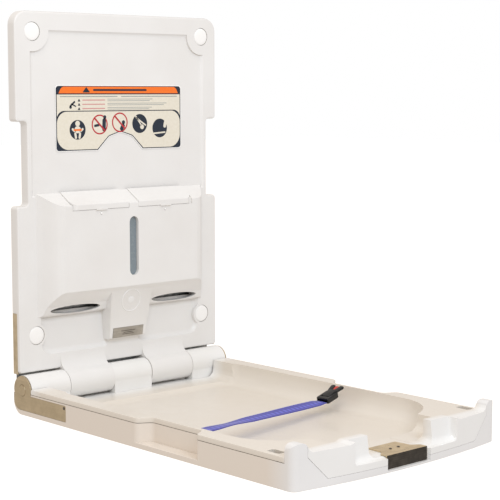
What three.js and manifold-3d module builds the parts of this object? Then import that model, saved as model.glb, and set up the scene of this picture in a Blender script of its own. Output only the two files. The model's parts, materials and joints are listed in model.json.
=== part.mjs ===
// Wall-mounted, fold-down changing table, drawn open.
// Millimetres, +X to the right of a person facing the wall, +Y into the wall, +Z up.
// The origin lies on the wall plane, centred, at the height of the open bed's rim.
import * as THREE from 'three';
import { mergeVertices } from 'three/addons/utils/BufferGeometryUtils.js';
import Module from 'manifold-3d';

const wasm = await Module();
wasm.setup();

// ---------------------------------------------------------------- driving dimensions
const WIDTH = 560;             // both mouldings
const HALF = WIDTH / 2;
const GAP = 0.35;              // clearance left between touching pieces
const SKIN = 1.5;              // steel back sheet

const WALL_FRONT = -26;        // front plane of the wall unit
const WALL_TOP = 800;
const WALL_FOOT = 27;          // lower edge above the hinge
const NOTCH_LOW = 387;         // side hand notches, closed up they meet the bed's
const NOTCH_HIGH = 567;
const NOTCH_IN = 251.5;

const AXIS_Y = -33;            // hinge axis
const AXIS_Z = -7;
const BARREL_R = 32;
const CENTRE_BARREL_R = 30.4;  // the bed's middle knuckle clears the back sheet
const BARREL_SIDES = 36;
const SHAFT_R = 9;
const KNUCKLE_CENTRE = 52.5;   // half length of the bed's middle knuckle
const KNUCKLE_IN = 53.5;       // wall knuckles run between these two
const KNUCKLE_OUT = 173.5;
const KNUCKLE_BED = 174.5;     // the bed's outer knuckles start here
const KNUCKLE_END = 275.6;

const CAP_X = 235;             // mounting bolts and their caps
const CAP_LOW = 106;
const CAP_HIGH = 757;
const CAP_R = 20;
const BOLT_R = 4;

const BULGE_FRONT = -69;       // front of the liner dispenser
const LID_BACK_Z = 412;
const LID_FRONT_Z = 386;
const LID_IN = 13;
const LID_OUT = 170;
const LID_PIN_Y = -31;
const LID_PIN_Z = 406.5;

const RIM_Z = -1;              // bed rim, level when open
const BED_BOTTOM = -61;
const SEAM_Z = -12;            // tray laps over the outer shell here
const FLOOR_Z = -49;           // basin floor
const LEDGE_Z = -41;           // flat ledge in front of the knuckles
const FRONT_IN = -26 - 816;    // inner face of the front wall
const CORNER_OUT = -26 - 838;  // front face at the corners
const BOW_STEPS = 9;           // straight steps along each half of the bow
const BOW = 24;                // the front face bows out by this much at the middle
const BED_NOTCH_NEAR = -26 - 401;
const BED_NOTCH_FAR = -26 - 581;
const BASIN_HALF = 243;
const GAP_HALF = 57;           // opening for the handle in the front wall
const SHELF_Z = -32;
const PLATE_FRONT = -880;      // front of the handle plate, set back behind the apron
const WALL_RIM_Z = 6;          // top of the front wall
const HUMP_Z = 10;
const EAR_Z = 24;
const EAR_IN = 248;            // the outer shell's corner posts stand outside this
const FASCIA_LOW = 204;        // the tray's front apron narrows to this half width
const FASCIA_Z = -46;          // at its lower edge

const COLOURS = {
  shell: { color: 0xebeae6, roughness: 0.45, metalness: 0 },
  tray: { color: 0xe6ddd0, roughness: 0.5, metalness: 0 },
  cap: { color: 0xffffff, roughness: 0.3, metalness: 0 },
  steel: { color: 0xb8aa90, roughness: 0.35, metalness: 1 },
  zinc: { color: 0xc8c8c8, roughness: 0.4, metalness: 1 },
  label: { color: 0xe4ded0, roughness: 0.4, metalness: 0 },
  window: { color: 0x8c979e, roughness: 0.25, metalness: 0 },
  nylon: { color: 0x33363a, roughness: 0.5, metalness: 0 },
  webbing: { color: 0x4a4fb0, roughness: 0.9, metalness: 0 },
  buckle: { color: 0x15171b, roughness: 0.4, metalness: 0 },
  cam: { color: 0xb02a22, roughness: 0.4, metalness: 0 },
};

// ---------------------------------------------------------------- solids
function solid(geometry) {
  let bare = geometry.index ? geometry.toNonIndexed() : geometry;
  bare = bare.clone();
  bare.deleteAttribute('normal');
  bare.deleteAttribute('uv');
  const merged = mergeVertices(bare, 1e-4);
  const vertProperties = new Float32Array(merged.attributes.position.array);
  const corners = merged.index.array;
  const kept = [];
  for (let i = 0; i < corners.length; i += 3) {
    const [a, b, c] = corners.slice(i, i + 3);
    if (a !== b && b !== c && c !== a) kept.push(a, b, c);
  }
  const triVerts = new Uint32Array(kept);
  return new wasm.Manifold(new wasm.Mesh({ numProp: 3, vertProperties, triVerts }));
}

function box(x0, x1, y0, y1, z0, z1) {
  const g = new THREE.BoxGeometry(x1 - x0, y1 - y0, z1 - z0);
  g.translate((x0 + x1) / 2, (y0 + y1) / 2, (z0 + z1) / 2);
  return solid(g);
}

// A polygon with its corners rounded by arcs; each corner is [u, v, radius].
function rounded(corners) {
  const shape = new THREE.Shape();
  const n = corners.length;
  corners.forEach(([u, v, r = 0], i) => {
    const p = new THREE.Vector2(u, v);
    if (!r) {
      if (i === 0) shape.moveTo(u, v); else shape.lineTo(u, v);
      return;
    }
    const before = new THREE.Vector2(...corners[(i + n - 1) % n].slice(0, 2)).sub(p).normalize();
    const after = new THREE.Vector2(...corners[(i + 1) % n].slice(0, 2)).sub(p).normalize();
    const half = Math.acos(before.dot(after)) / 2;
    const start = p.clone().addScaledVector(before, r / Math.tan(half));
    const end = p.clone().addScaledVector(after, r / Math.tan(half));
    const centre = before.clone().add(after).normalize().multiplyScalar(r / Math.sin(half)).add(p);
    const angle = (q) => Math.atan2(q.y - centre.y, q.x - centre.x);
    if (i === 0) shape.moveTo(start.x, start.y); else shape.lineTo(start.x, start.y);
    shape.absarc(centre.x, centre.y, r, angle(start), angle(end), before.cross(after) > 0);
  });
  shape.closePath();
  return shape;
}

function extrude(shape, depth, { bevel = 0, steps = 2, curve = 3 } = {}) {
  return new THREE.ExtrudeGeometry(shape, {
    depth: depth - 2 * bevel, steps: 1, curveSegments: curve,
    bevelEnabled: bevel > 0, bevelThickness: bevel, bevelSize: bevel, bevelOffset: -bevel,
    bevelSegments: steps,
  }).translate(0, 0, bevel);
}

// Shape drawn in (x, y), standing from z0 up to z1.
function alongZ(shape, z0, z1, options) {
  return solid(extrude(shape, z1 - z0, options).translate(0, 0, z0));
}

// Shape drawn in (x, z), from yFront back to yBack.
function alongY(shape, yFront, yBack, options) {
  return solid(extrude(shape, yBack - yFront, options).rotateX(Math.PI / 2).translate(0, yBack, 0));
}

// Shape drawn in (y, z), from x0 to x1.
function alongX(shape, x0, x1, options) {
  const turn = new THREE.Matrix4().makeBasis(
    new THREE.Vector3(0, 1, 0), new THREE.Vector3(0, 0, 1), new THREE.Vector3(1, 0, 0));
  return solid(extrude(shape, x1 - x0, options).applyMatrix4(turn).translate(x0, 0, 0));
}

function rodX(r, x0, x1, y, z, sides = 28) {
  const g = new THREE.CylinderGeometry(r, r, x1 - x0, sides);
  return solid(g.rotateZ(Math.PI / 2).translate((x0 + x1) / 2, y, z));
}

function rodY(r, y0, y1, x, z, sides = 20) {
  return solid(new THREE.CylinderGeometry(r, r, y1 - y0, sides).translate(x, (y0 + y1) / 2, z));
}

function join(...parts) {
  return parts.reduce((a, b) => a.add(b));
}

function cut(body, ...tools) {
  return tools.reduce((a, b) => a.subtract(b), body);
}

// The same solid on the other side of the middle plane.
function mirrorX(body) {
  return body.mirror([1, 0, 0]);
}

function both(make) {
  const right = make();
  return join(right, mirrorX(right));
}

const object = new THREE.Group();
object.name = 'changing_table';

function add(name, body, finish) {
  const { vertProperties, triVerts } = body.getMesh();
  const geometry = new THREE.BufferGeometry();
  geometry.setAttribute('position', new THREE.BufferAttribute(new Float32Array(vertProperties), 3));
  geometry.setIndex(new THREE.BufferAttribute(new Uint32Array(triVerts), 1));
  geometry.computeVertexNormals();
  const mesh = new THREE.Mesh(geometry, new THREE.MeshStandardMaterial(COLOURS[finish]));
  mesh.name = name;
  object.add(mesh);
}

function addPair(name, right, finish) {
  add(`${name}_right`, right, finish);
  add(`${name}_left`, mirrorX(right), finish);
}

// ---------------------------------------------------------------- wall unit
// Outline of the wall unit, drawn in (x, z) and set in by `inset`.
function wallOutline(inset, foot) {
  const x = HALF - inset;
  const n = NOTCH_IN - inset;
  const half = [
    [x, foot, 7], [x, NOTCH_LOW - inset, 7], [n, NOTCH_LOW - inset, 8],
    [n, NOTCH_HIGH + inset, 8], [x, NOTCH_HIGH + inset, 7], [x, WALL_TOP - inset, 30 - inset],
  ];
  const other = half.map(([u, v, r]) => [-u, v, r]).reverse();
  return rounded([...half, ...other]);
}

// Plan of the dispenser bulge in (x, y), flaring softly to the wall unit on both sides.
function bulgePlan(inset) {
  const shape = new THREE.Shape();
  const foot = 244 - inset;
  const front = 184 - inset;
  const y = BULGE_FRONT + inset;
  shape.moveTo(-foot, -20);
  shape.bezierCurveTo(-foot + 26, -24, -front - 32, y, -front, y);
  shape.lineTo(front, y);
  shape.bezierCurveTo(front + 32, y, foot - 26, -24, foot, -20);
  shape.closePath();
  return shape;
}

const RECESS_Y = WALL_FRONT + 4.5;
const SCOOP_Y = WALL_FRONT + 8.5;
const POCKET_Y = -13;

function cornerBoss(x, z) {
  return join(rodY(42, WALL_FRONT - 1, -2, x, z, 40), box(x, x + 60, WALL_FRONT - 1, -2, z - 42, z + 60),
    box(x - 42, x + 60, WALL_FRONT - 1, -2, z, z + 60));
}

function labelRecess() {
  const field = alongY(rounded([[-243, 404, 0], [243, 404, 0], [243, 762, 14], [-243, 762, 14]]),
    WALL_FRONT - 10, RECESS_Y, { bevel: 9, steps: 3 });
  return cut(field, both(() => cornerBoss(CAP_X, CAP_HIGH)));
}

function scoops() {
  return both(() => {
    const hollow = alongY(rounded([[40, 60, 17], [224, 60, 28], [224, 190, 17], [40, 190, 17]]),
      WALL_FRONT - 30, SCOOP_Y, { bevel: 13, steps: 4 });
    return cut(hollow, rodY(25, -80, 0, CAP_X, CAP_LOW, 32));
  });
}

function bulge() {
  const profile = rounded([[-15, 412, 0], [WALL_FRONT, 412, 0], [BULGE_FRONT, LID_FRONT_Z, 5],
    [BULGE_FRONT, 199, 6], [-42, 166, 4], [-34, 148, 4], [-15, 140, 0]]);
  return alongZ(bulgePlan(0), 130, 430, { curve: 7 }).intersect(alongX(profile, -250, 250));
}

// The block between the two dispensing slots, which carries the badge and the plate.
function centreBlock() {
  const profile = rounded([[-15, 194, 0], [-61, 194, 4], [-41, 78, 5], [-15, 76, 0]]);
  const front = alongY(rounded([[-50, 74, 5], [50, 74, 5], [58, 198, 0], [-58, 198, 0]]), -90, -10);
  return alongX(profile, -70, 70).intersect(front);
}

// Liner compartment behind one lid, open under the lid and at the dispensing slot.
function linerHollow() {
  const plan = alongZ(rounded([[22, -12, 3], [208, -12, 3], [204, -32, 6], [180, -61, 12],
    [22, -61, 6]]), 120, 420);
  const profile = rounded([[-12, 384, 0], [-61, 384, 4], [-61, 206, 4], [-37, 172, 3],
    [-29, 154, 0], [-12, 154, 0]]);
  const mouth = box(26, 158, -60, -36, 378, 430);
  return join(plan.intersect(alongX(profile, 10, 220)), mouth);
}

function dispensingSlot() {
  const ellipse = new THREE.Shape();
  ellipse.absellipse(140, 157, 67, 9, 0, Math.PI * 2);
  return alongY(ellipse, -80, -18, { curve: 12 });
}

function lidSeat() {
  const profile = rounded([[-22.5, 440, 0], [-22.5, 396, 0], [-36, 396, 0], [-36, 404, 0],
    [-65.5, 386.1, 0], [-65.5, 374.5, 0], [-80, 374.5, 0], [-80, 440, 0]]);
  return alongX(profile, LID_IN, LID_OUT);
}

function wallKnuckle() {
  const barrel = rodX(BARREL_R, KNUCKLE_IN, KNUCKLE_OUT, AXIS_Y, AXIS_Z, BARREL_SIDES);
  const neck = [[-2, -30], [-2, 58], [WALL_FRONT, 58], [-26.6, 47], [-29, 38], [-33.6, 30.5], [-40, 25],
    [-48.5, 19.5], [-56, 14.5], [AXIS_Y, AXIS_Z]];
  return join(barrel, alongX(rounded(neck), KNUCKLE_IN, KNUCKLE_OUT));
}

function wallShell() {
  const plate = cut(
    alongY(wallOutline(0, WALL_FOOT), WALL_FRONT, 10, { bevel: 5, steps: 2 }),
    box(-300, 300, -SKIN - GAP, 30, -50, 850));
  const bosses = both(() => join(rodY(24, POCKET_Y - 6, -SKIN - GAP, CAP_X, CAP_LOW),
    rodY(24, POCKET_Y - 6, -SKIN - GAP, CAP_X, CAP_HIGH)));
  const ribs = join(box(-4, 4, -16, -SKIN - GAP, 30, 792), box(-272, 272, -16, -SKIN - GAP, 478, 484),
    box(-240, 240, -16, -SKIN - GAP, 640, 646));
  const pocket = cut(alongY(wallOutline(8, WALL_FOOT + 8), POCKET_Y, 5), bosses, ribs);
  const body = join(cut(plate, labelRecess(), scoops(), pocket), bulge(), centreBlock(), both(wallKnuckle));
  const boltHoles = both(() => join(
    rodY(BOLT_R + GAP, -40, 5, CAP_X, CAP_LOW), rodY(BOLT_R + GAP, -40, 5, CAP_X, CAP_HIGH),
    rodY(CAP_R + GAP, -40, -20, CAP_X, CAP_LOW), rodY(CAP_R + GAP, -40, -20, CAP_X, CAP_HIGH),
    rodY(9.6, -21, -14, CAP_X, CAP_LOW), rodY(9.6, -21, -14, CAP_X, CAP_HIGH)));
  const lidCuts = both(() => join(linerHollow(), lidSeat(), dispensingSlot(),
    rodX(4.4, 27, 156, LID_PIN_Y, LID_PIN_Z, 20), rodX(2, 19, 164, LID_PIN_Y, LID_PIN_Z, 16)));
  const slot = new THREE.Shape();
  slot.absarc(0, 342, 12.5, 0, Math.PI);
  slot.absarc(0, 234, 12.5, Math.PI, Math.PI * 2);
  const windowSlot = alongY(slot, -80, BULGE_FRONT + 12);
  const behind = box(-300, 300, -SKIN - GAP, 30, -80, 850);
  const shaftBore = rodX(SHAFT_R + GAP, -180, 180, AXIS_Y, AXIS_Z);
  const bracketSeat = both(() => wallPlateShape(GAP));
  const nameRecess = platePlace(box(-43, 43, -5, 0.7, -12, 12));
  return cut(body, boltHoles, lidCuts, windowSlot, behind, shaftBore, bracketSeat, nameRecess,
    both(() => rodY(3.4, BULGE_FRONT - 2, BULGE_FRONT + 6, 90, 366)),
    rodX(CENTRE_BARREL_R + 1.6, -KNUCKLE_IN, KNUCKLE_IN, AXIS_Y, AXIS_Z, BARREL_SIDES));
}

// Places a flat piece, drawn with its back at y = 0, on the sloping face of the centre block.
function platePlace(body) {
  return body.rotate([9.8, 0, 0]).translate([0, -43.1, 91]);
}

// Bent steel bracket let into one side of the wall unit.
function wallPlateShape(grow) {
  return join(
    box(HALF - 2.6 - grow, HALF + 5 * (grow > 0), -18 - grow, -SKIN - GAP, WALL_FOOT - 1.6, 157 + grow),
    box(262 - grow, HALF, -4.4 - grow, -SKIN - GAP, WALL_FOOT - 1.6, 157 + grow));
}

function backPanel() {
  const sheet = alongY(wallOutline(6, WALL_FOOT + 6), -SKIN, 0);
  const tongue = join(box(-170, 170, -SKIN, 0, -34, 60), box(-272, 272, -SKIN, 0, 12, 60));
  return cut(join(sheet, tongue), both(() => join(
    rodY(BOLT_R + GAP, -9, 9, CAP_X, CAP_LOW), rodY(BOLT_R + GAP, -9, 9, CAP_X, CAP_HIGH))));
}

function boltCap() {
  const points = [[0, 0], [18.4, 0], [19.6, 1], [19.6, 3.4], [17.5, 5.2], [9, 6], [0, 6.2]];
  return solid(new THREE.LatheGeometry(points.map(([r, h]) => new THREE.Vector2(r, h)), 20)
    .rotateX(Math.PI).translate(0, -20.6, 0));
}

function wallBolt() {
  const head = rodY(9, -19.6, -14.4, 0, 0, 6);
  return join(head, rodY(BOLT_R, -15, -0.4, 0, 0, 20));
}

function fasteners() {
  for (const [side, x] of [['left', -CAP_X], ['right', CAP_X]]) {
    for (const [level, z] of [['top', CAP_HIGH], ['bottom', CAP_LOW]]) {
      add(`bolt_cap_${level}_${side}`, boltCap().translate([x, 0, z]), 'cap');
      add(`wall_bolt_${level}_${side}`, wallBolt().translate([x, 0, z]), 'zinc');
    }
  }
}

function labelPlate() {
  const outline = rounded([[-176, 500, 8], [-62, 500, 4], [-50, 534, 10], [50, 534, 10], [62, 500, 4],
    [176, 500, 8], [176, 646, 8], [-176, 646, 8]]);
  return alongY(outline, RECESS_Y - GAP - 1, RECESS_Y - GAP);
}

function linerWindow() {
  const slot = new THREE.Shape();
  slot.absarc(0, 342, 12, 0, Math.PI);
  slot.absarc(0, 234, 12, Math.PI, Math.PI * 2);
  return alongY(slot, BULGE_FRONT + 8, BULGE_FRONT + 12 - GAP);
}

function lid() {
  const profile = rounded([[-27, 413.5, 0], [-27, 410.3, 0], [-65.9, 386.6, 0], [-65.9, 375, 0],
    [-70.2, 375, 1], [-70.2, 387.2, 3]]);
  const blade = alongX(profile, LID_IN + GAP, LID_OUT - GAP);
  const plan = alongZ(rounded([[LID_IN, -20, 0], [LID_OUT, -20, 0], [LID_OUT, -70.2, 18],
    [LID_IN, -70.2, 3]]), 350, 440, { curve: 5 });
  const knuckle = rodX(3.9, 30, 153, LID_PIN_Y, LID_PIN_Z, 20);
  const tab = box(75, 105, -72.4, -69, 373.6, 377);
  return cut(join(blade.intersect(plan), knuckle, tab), rodX(2.05, 20, 165, LID_PIN_Y, LID_PIN_Z, 16));
}

function hingeHardware() {
  const shaft = rodX(SHAFT_R, -275, 275, AXIS_Y, AXIS_Z);
  add('hinge_shaft', shaft, 'zinc');
  const tube = (x0, x1, r) => cut(rodX(r, x0, x1, AXIS_Y, AXIS_Z),
    rodX(SHAFT_R + 0.1, x0 - 1, x1 + 1, AXIS_Y, AXIS_Z));
  add('hinge_damper', tube(-46, 46, 19), 'nylon');
  addPair('hinge_bush', tube(180, 268, 13), 'nylon');
  addPair('hinge_pin_head', rodX(12.2, 276, HALF + 0.5, AXIS_Y, AXIS_Z, 24), 'steel');
}

// ---------------------------------------------------------------- bed
// Side view of the bed in (y, z): the lower back corner is rounded round the hinge.
function bedSide(top) {
  return rounded([[-1.2, top, 0], [-1.2, BED_BOTTOM, 30], [-900, BED_BOTTOM, 0], [-900, top, 0]]);
}

// Three short steps that round a corner of a plan, given the points before and after it.
function softCorner(before, p, after, radius = 8) {
  const toward = (q) => {
    const reach = radius / Math.hypot(q[0] - p[0], q[1] - p[1]);
    return [p[0] + (q[0] - p[0]) * reach, p[1] + (q[1] - p[1]) * reach];
  };
  const [a, b] = [toward(before), toward(after)];
  return [0, 1 / 3, 2 / 3, 1].map((t) => [0, 1].map((i) =>
    a[i] * (1 - t) ** 2 + 2 * p[i] * t * (1 - t) + b[i] * t ** 2));
}

// Plan of the bed in (x, y); with notches it is set in at both sides for the hands.
function bedPlan(inset, notched, back = -0.9) {
  const x = HALF - inset;
  const n = NOTCH_IN - Math.min(inset, 3) - (inset > 9 ? GAP : 0);
  const corner = CORNER_OUT + inset;
  const near = BED_NOTCH_NEAR + inset;
  const far = BED_NOTCH_FAR - inset;
  const shape = new THREE.Shape();
  const notch = [[x, back], [x, near], [n, near - 16], [n, far + 16], [x, far], [x, corner]];
  const side = notched ? [notch[0], ...notch.slice(1, 5).flatMap((_, i) =>
    softCorner(...notch.slice(i, i + 3)))] : [notch[0]];
  shape.moveTo(side[0][0], side[0][1]);
  side.slice(1).forEach(([u, v]) => shape.lineTo(u, v));
  shape.lineTo(x, corner + 16);
  shape.quadraticCurveTo(x, corner, x - 16, corner - 2);
  shape.quadraticCurveTo(0, corner - 2 * BOW + 3, -x + 16, corner - 2);
  shape.quadraticCurveTo(-x, corner, -x, corner + 16);
  side.slice().reverse().forEach(([u, v]) => shape.lineTo(-u, v));
  shape.closePath();
  return shape;
}

function basinPlan(half, near, far, sideRadius) {
  return rounded([[-half, near, 50], [half, near, 50], [half, far + 60, sideRadius], [120, far, 90],
    [-120, far, 90], [-half, far + 60, sideRadius]]);
}

const BASIN_NEAR = -26 - 80;
const BASIN_FAR = -26 - 764;

function basin(grow) {
  const deep = alongZ(basinPlan(BASIN_HALF + grow, BASIN_NEAR + grow, BASIN_FAR - grow, 120),
    FLOOR_Z - grow, 60, { bevel: 38, steps: 4, curve: 4 });
  const ledge = alongZ(rounded([[-236 - grow, -10, 0], [236 + grow, -10, 0], [236 + grow, -200, 0],
    [-236 - grow, -200, 0]]), LEDGE_Z - grow, 60, { bevel: 20, steps: 3 });
  const front = alongZ(rounded([[-150 - grow, -700, 40], [150 + grow, -700, 40], [150 + grow, FRONT_IN, 22],
    [-150 - grow, FRONT_IN, 22]]), SHELF_Z - grow, 60, { bevel: 16, steps: 3 });
  return join(deep, ledge, front);
}

function frontFascia() {
  const band = alongZ(bedPlan(0, false), FASCIA_Z, EAR_Z, { curve: BOW_STEPS }).intersect(
    box(-EAR_IN, EAR_IN, -900, FRONT_IN, FASCIA_Z, EAR_Z));
  const half = [[FASCIA_LOW, FASCIA_Z, 0], [EAR_IN, -2, 0], [EAR_IN, 17, 0], [EAR_IN - 3, 11, 6],
    [EAR_IN - 10, WALL_RIM_Z, 8], [152, WALL_RIM_Z, 6], [142, HUMP_Z, 6]];
  const skyline = rounded([...half, ...half.map(([x, z, r]) => [-x, z, r]).reverse()]);
  return band.intersect(alongY(skyline, -920, -700));
}

// Finger scoop beside the handle, a shelf cut from the front of the wall.
function fingerScoop() {
  const profile = rounded([[-960, SHELF_Z - 2, 0], [-866, SHELF_Z - 2, 14], [-850, 90, 0], [-960, 90, 0]]);
  const dip = rounded([[-960, SHELF_Z, 0], [-780, SHELF_Z, 0], [-780, 90, 0], [-960, 90, 0]]);
  return join(alongX(profile, 30, 142, { bevel: 8, steps: 3 }),
    alongX(dip, 30, 88, { bevel: 12, steps: 3 }));
}

function bagHookSlot() {
  return alongZ(rounded([[252, -818, 5], [270, -818, 5], [270, -786, 5], [252, -786, 5]]), -40, 10);
}

// Opening for the handle from yBack forward, a little wider at its mouth.
function handleGap(yBack, z0) {
  const mouth = GAP_HALF + 8;
  const waist = Math.min(yBack, -874);
  return alongZ(rounded([[-GAP_HALF, yBack, 0], [GAP_HALF, yBack, 0], [GAP_HALF, waist - 0.1, 0],
    [mouth, -900, 0], [-mouth, -900, 0], [-GAP_HALF, waist - 0.1, 0]]), z0, 40);
}

// The strap goes out under the rim through this slot in the basin's left side.
function strapSlot() {
  return box(-249.6, -240, -585, -552, -12.5, -3.5);
}

function bedTray() {
  const plan = bedPlan(0, true, -66);
  const rim = alongZ(plan, SEAM_Z, RIM_Z, { bevel: 2, steps: 2, curve: BOW_STEPS });
  const sill = box(-150, 150, FRONT_IN - 1, -812, SHELF_Z - 8, -14);
  const ledge = box(-236, 236, -200, -4, LEDGE_Z - 4, LEDGE_Z);
  const hull = basin(4).intersect(alongZ(bedPlan(9 + GAP, true, -66), -60, SEAM_Z + 2));
  const knuckles = join(
    both(() => rodX(BARREL_R, KNUCKLE_BED, KNUCKLE_END, AXIS_Y, AXIS_Z, BARREL_SIDES)),
    rodX(CENTRE_BARREL_R, -KNUCKLE_CENTRE, KNUCKLE_CENTRE, AXIS_Y, AXIS_Z, BARREL_SIDES),
    box(-KNUCKLE_CENTRE, KNUCKLE_CENTRE, -62, -34, LEDGE_Z - 2, -12),
    both(() => box(KNUCKLE_BED, 250, -62, -34, LEDGE_Z - 2, -12)));
  const trough = both(() => rodX(BARREL_R + 1.4, KNUCKLE_CENTRE, KNUCKLE_BED, AXIS_Y, AXIS_Z,
    BARREL_SIDES));
  const hollow = cut(basin(0), both(() => box(KNUCKLE_BED, 300, -62, 20, -60, 60)),
    box(-KNUCKLE_CENTRE, KNUCKLE_CENTRE, -62, 20, -60, 60));
  const upper = join(cut(rim, box(-300, 300, -900, FRONT_IN, -60, 60)), ledge, hull, sill,
    frontFascia());
  const body = join(cut(upper, hollow), knuckles);
  const gap = join(handleGap(-780, SHELF_Z - GAP), handleGap(PLATE_FRONT + 2.3, -70));
  return cut(body, trough, gap, both(fingerScoop), both(bagHookSlot), strapSlot(),
    both(() => screwBore(11, -848, -45, -20)), rodX(SHAFT_R + GAP, -300, 300, AXIS_Y, AXIS_Z),
    rodX(19 + GAP, -46 - GAP, 46 + GAP, AXIS_Y, AXIS_Z),
    both(() => rodX(13 + GAP, 180 - GAP, 268 + GAP, AXIS_Y, AXIS_Z)),
    both(() => rodX(BARREL_R + 1, KNUCKLE_END + 0.2, HALF + 3, AXIS_Y, AXIS_Z, BARREL_SIDES)));
}

function bedOuterShell() {
  const side = alongX(bedSide(SEAM_Z - GAP), -HALF - 5, HALF + 5, { curve: 6 });
  const flange = alongZ(bedPlan(0, false), BED_BOTTOM, -50, { bevel: 2, steps: 2, curve: BOW_STEPS });
  const walls = alongZ(bedPlan(0, true), -54, SEAM_Z - GAP, { curve: BOW_STEPS });
  const full = join(flange, walls).intersect(side);
  const pocket = alongZ(bedPlan(9, true, -9), BED_BOTTOM + 3.4, 20);
  const bedTop = box(-HALF + 8.4, HALF - 8.4, -70, 5, LEDGE_Z - 4 - GAP, 0);
  const low = FASCIA_Z - 0.4;
  const edge = EAR_IN + 0.4;
  const slant = [[FASCIA_LOW + 0.4, low, 0], [edge, -2.4, 0], [edge, 60, 0]];
  const apron = rounded([...slant, ...slant.map(([x, z]) => [-x, z, 0]).reverse()]);
  const post = () => alongY(rounded([[FASCIA_LOW, -55, 0], [HALF, -55, 0], [HALF, EAR_Z, 13],
    [edge, EAR_Z, 10], [edge, -2.4, 0], [FASCIA_LOW, FASCIA_Z, 0]]), -920, FRONT_IN - GAP);
  const posts = alongZ(bedPlan(0, false), -55, EAR_Z, { curve: BOW_STEPS }).intersect(join(
    box(-FASCIA_LOW - 3, FASCIA_LOW + 3, -900, FRONT_IN - GAP, -55, FASCIA_Z), both(post)));
  const ribs = join(...[-200, -320, -440, -560, -680].map((y) => box(-240, 240, y - 2, y + 2, -60, -54.2)));
  const fascia = alongY(apron, -920, FRONT_IN + GAP + 4);
  return cut(join(cut(full, pocket, bedTop), posts, ribs), fascia,
    box(-160, 160, FRONT_IN - 5, FRONT_IN + 60, FASCIA_Z - 0.4, 0),
    both(() => rodX(BARREL_R + 0.6, 160, KNUCKLE_END + 0.5, AXIS_Y, AXIS_Z, BARREL_SIDES)),
    rodX(BARREL_R + 1.4, -176, 176, AXIS_Y, AXIS_Z, BARREL_SIDES),
    both(() => sidePlateShape(GAP)),
    both(() => rodX(BARREL_R + 1, 275, HALF + 3, AXIS_Y, AXIS_Z, BARREL_SIDES)),
    handleGap(PLATE_FRONT + 2.3, -56.4));
}

// Steel hinge plate on the right side of the bed: a disc round the pin and a long arm.
function sidePlateShape(grow) {
  const x0 = 276.4 - grow;
  const x1 = HALF - 0.3 + 3 * grow;
  const disc = rodX(BARREL_R - 0.8 + grow, x0, x1, AXIS_Y, AXIS_Z, BARREL_SIDES);
  const arm = alongX(rounded([[-2 + grow, -20, 0], [-2 + grow, -50 - grow, 20],
    [-192 - grow, -50 - grow, 3], [-192 - grow, -16 + grow, 3], [-62, -16 + grow, 3]]), x0, x1);
  return join(disc, arm);
}

function screwBore(x, y, z0, z1) {
  return solid(new THREE.CylinderGeometry(2.4, 2.4, z1 - z0, 12).rotateX(Math.PI / 2)
    .translate(x, y, (z0 + z1) / 2));
}

function handlePlate() {
  const flange = alongZ(rounded([[-37, -816, 2], [37, -816, 2], [40, -852, 2], [GAP_HALF - 1, -864, 3],
    [GAP_HALF - 1, PLATE_FRONT, 0], [-GAP_HALF + 1, PLATE_FRONT, 0], [-GAP_HALF + 1, -864, 3],
    [-40, -852, 2]]), SHELF_Z, SHELF_Z + 2);
  const drop = box(-GAP_HALF + 1, GAP_HALF - 1, PLATE_FRONT, PLATE_FRONT + 2, -56, SHELF_Z + 2);
  return cut(join(flange, drop), both(() => screwBore(11, -848, -40, -20)));
}

function panScrew(x, y, z) {
  const points = [[0, -5], [2, -5], [2, 0], [4.4, 0], [4.2, 1.2], [2.8, 2], [0, 2.2]];
  return solid(new THREE.LatheGeometry(points.map(([r, h]) => new THREE.Vector2(r, h)), 12)
    .rotateX(Math.PI / 2).translate(x, y, z));
}

// ---------------------------------------------------------------- strap and buckle
const STRAP_START = new THREE.Vector3(-247.4, -569, -8);   // in the slot of the basin's side
const BUCKLE_START = new THREE.Vector3(163, -496, -22);    // where the webbing meets the buckle
const BUCKLE_END = new THREE.Vector3(236, -486, -5);
const LEVER_LIFT = 6;          // the lever stands up by this many degrees until pressed
const STRAP_ROLL = 12;         // the webbing leans towards the front, in degrees
const DEGREES = 180 / Math.PI;

// Lays a piece drawn along +X from the origin onto the line from one point to another.
function layAlong(body, from, to) {
  const way = to.clone().sub(from);
  const yaw = Math.atan2(way.y, way.x) * DEGREES;
  const pitch = Math.atan2(way.z, Math.hypot(way.x, way.y)) * DEGREES;
  return body.rotate([0, -pitch, yaw]).translate(from.toArray());
}

function strapWebbing() {
  const length = STRAP_START.distanceTo(BUCKLE_START);
  const flat = box(0, length + 4, -12.5, 12.5, -0.8, 0.8).rotate([STRAP_ROLL, 0, 0]);
  return layAlong(flat, STRAP_START, BUCKLE_START);
}

// Bezel round the slot that the webbing goes out through.
function strapAnchor() {
  return cut(box(-242.2, -240.2, -588, -549, -13.2, -2.6), box(-250, -230, -584.5, -552.5, -12, -4));
}

function onBuckle(body) {
  return layAlong(body, BUCKLE_START, BUCKLE_END);
}

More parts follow.
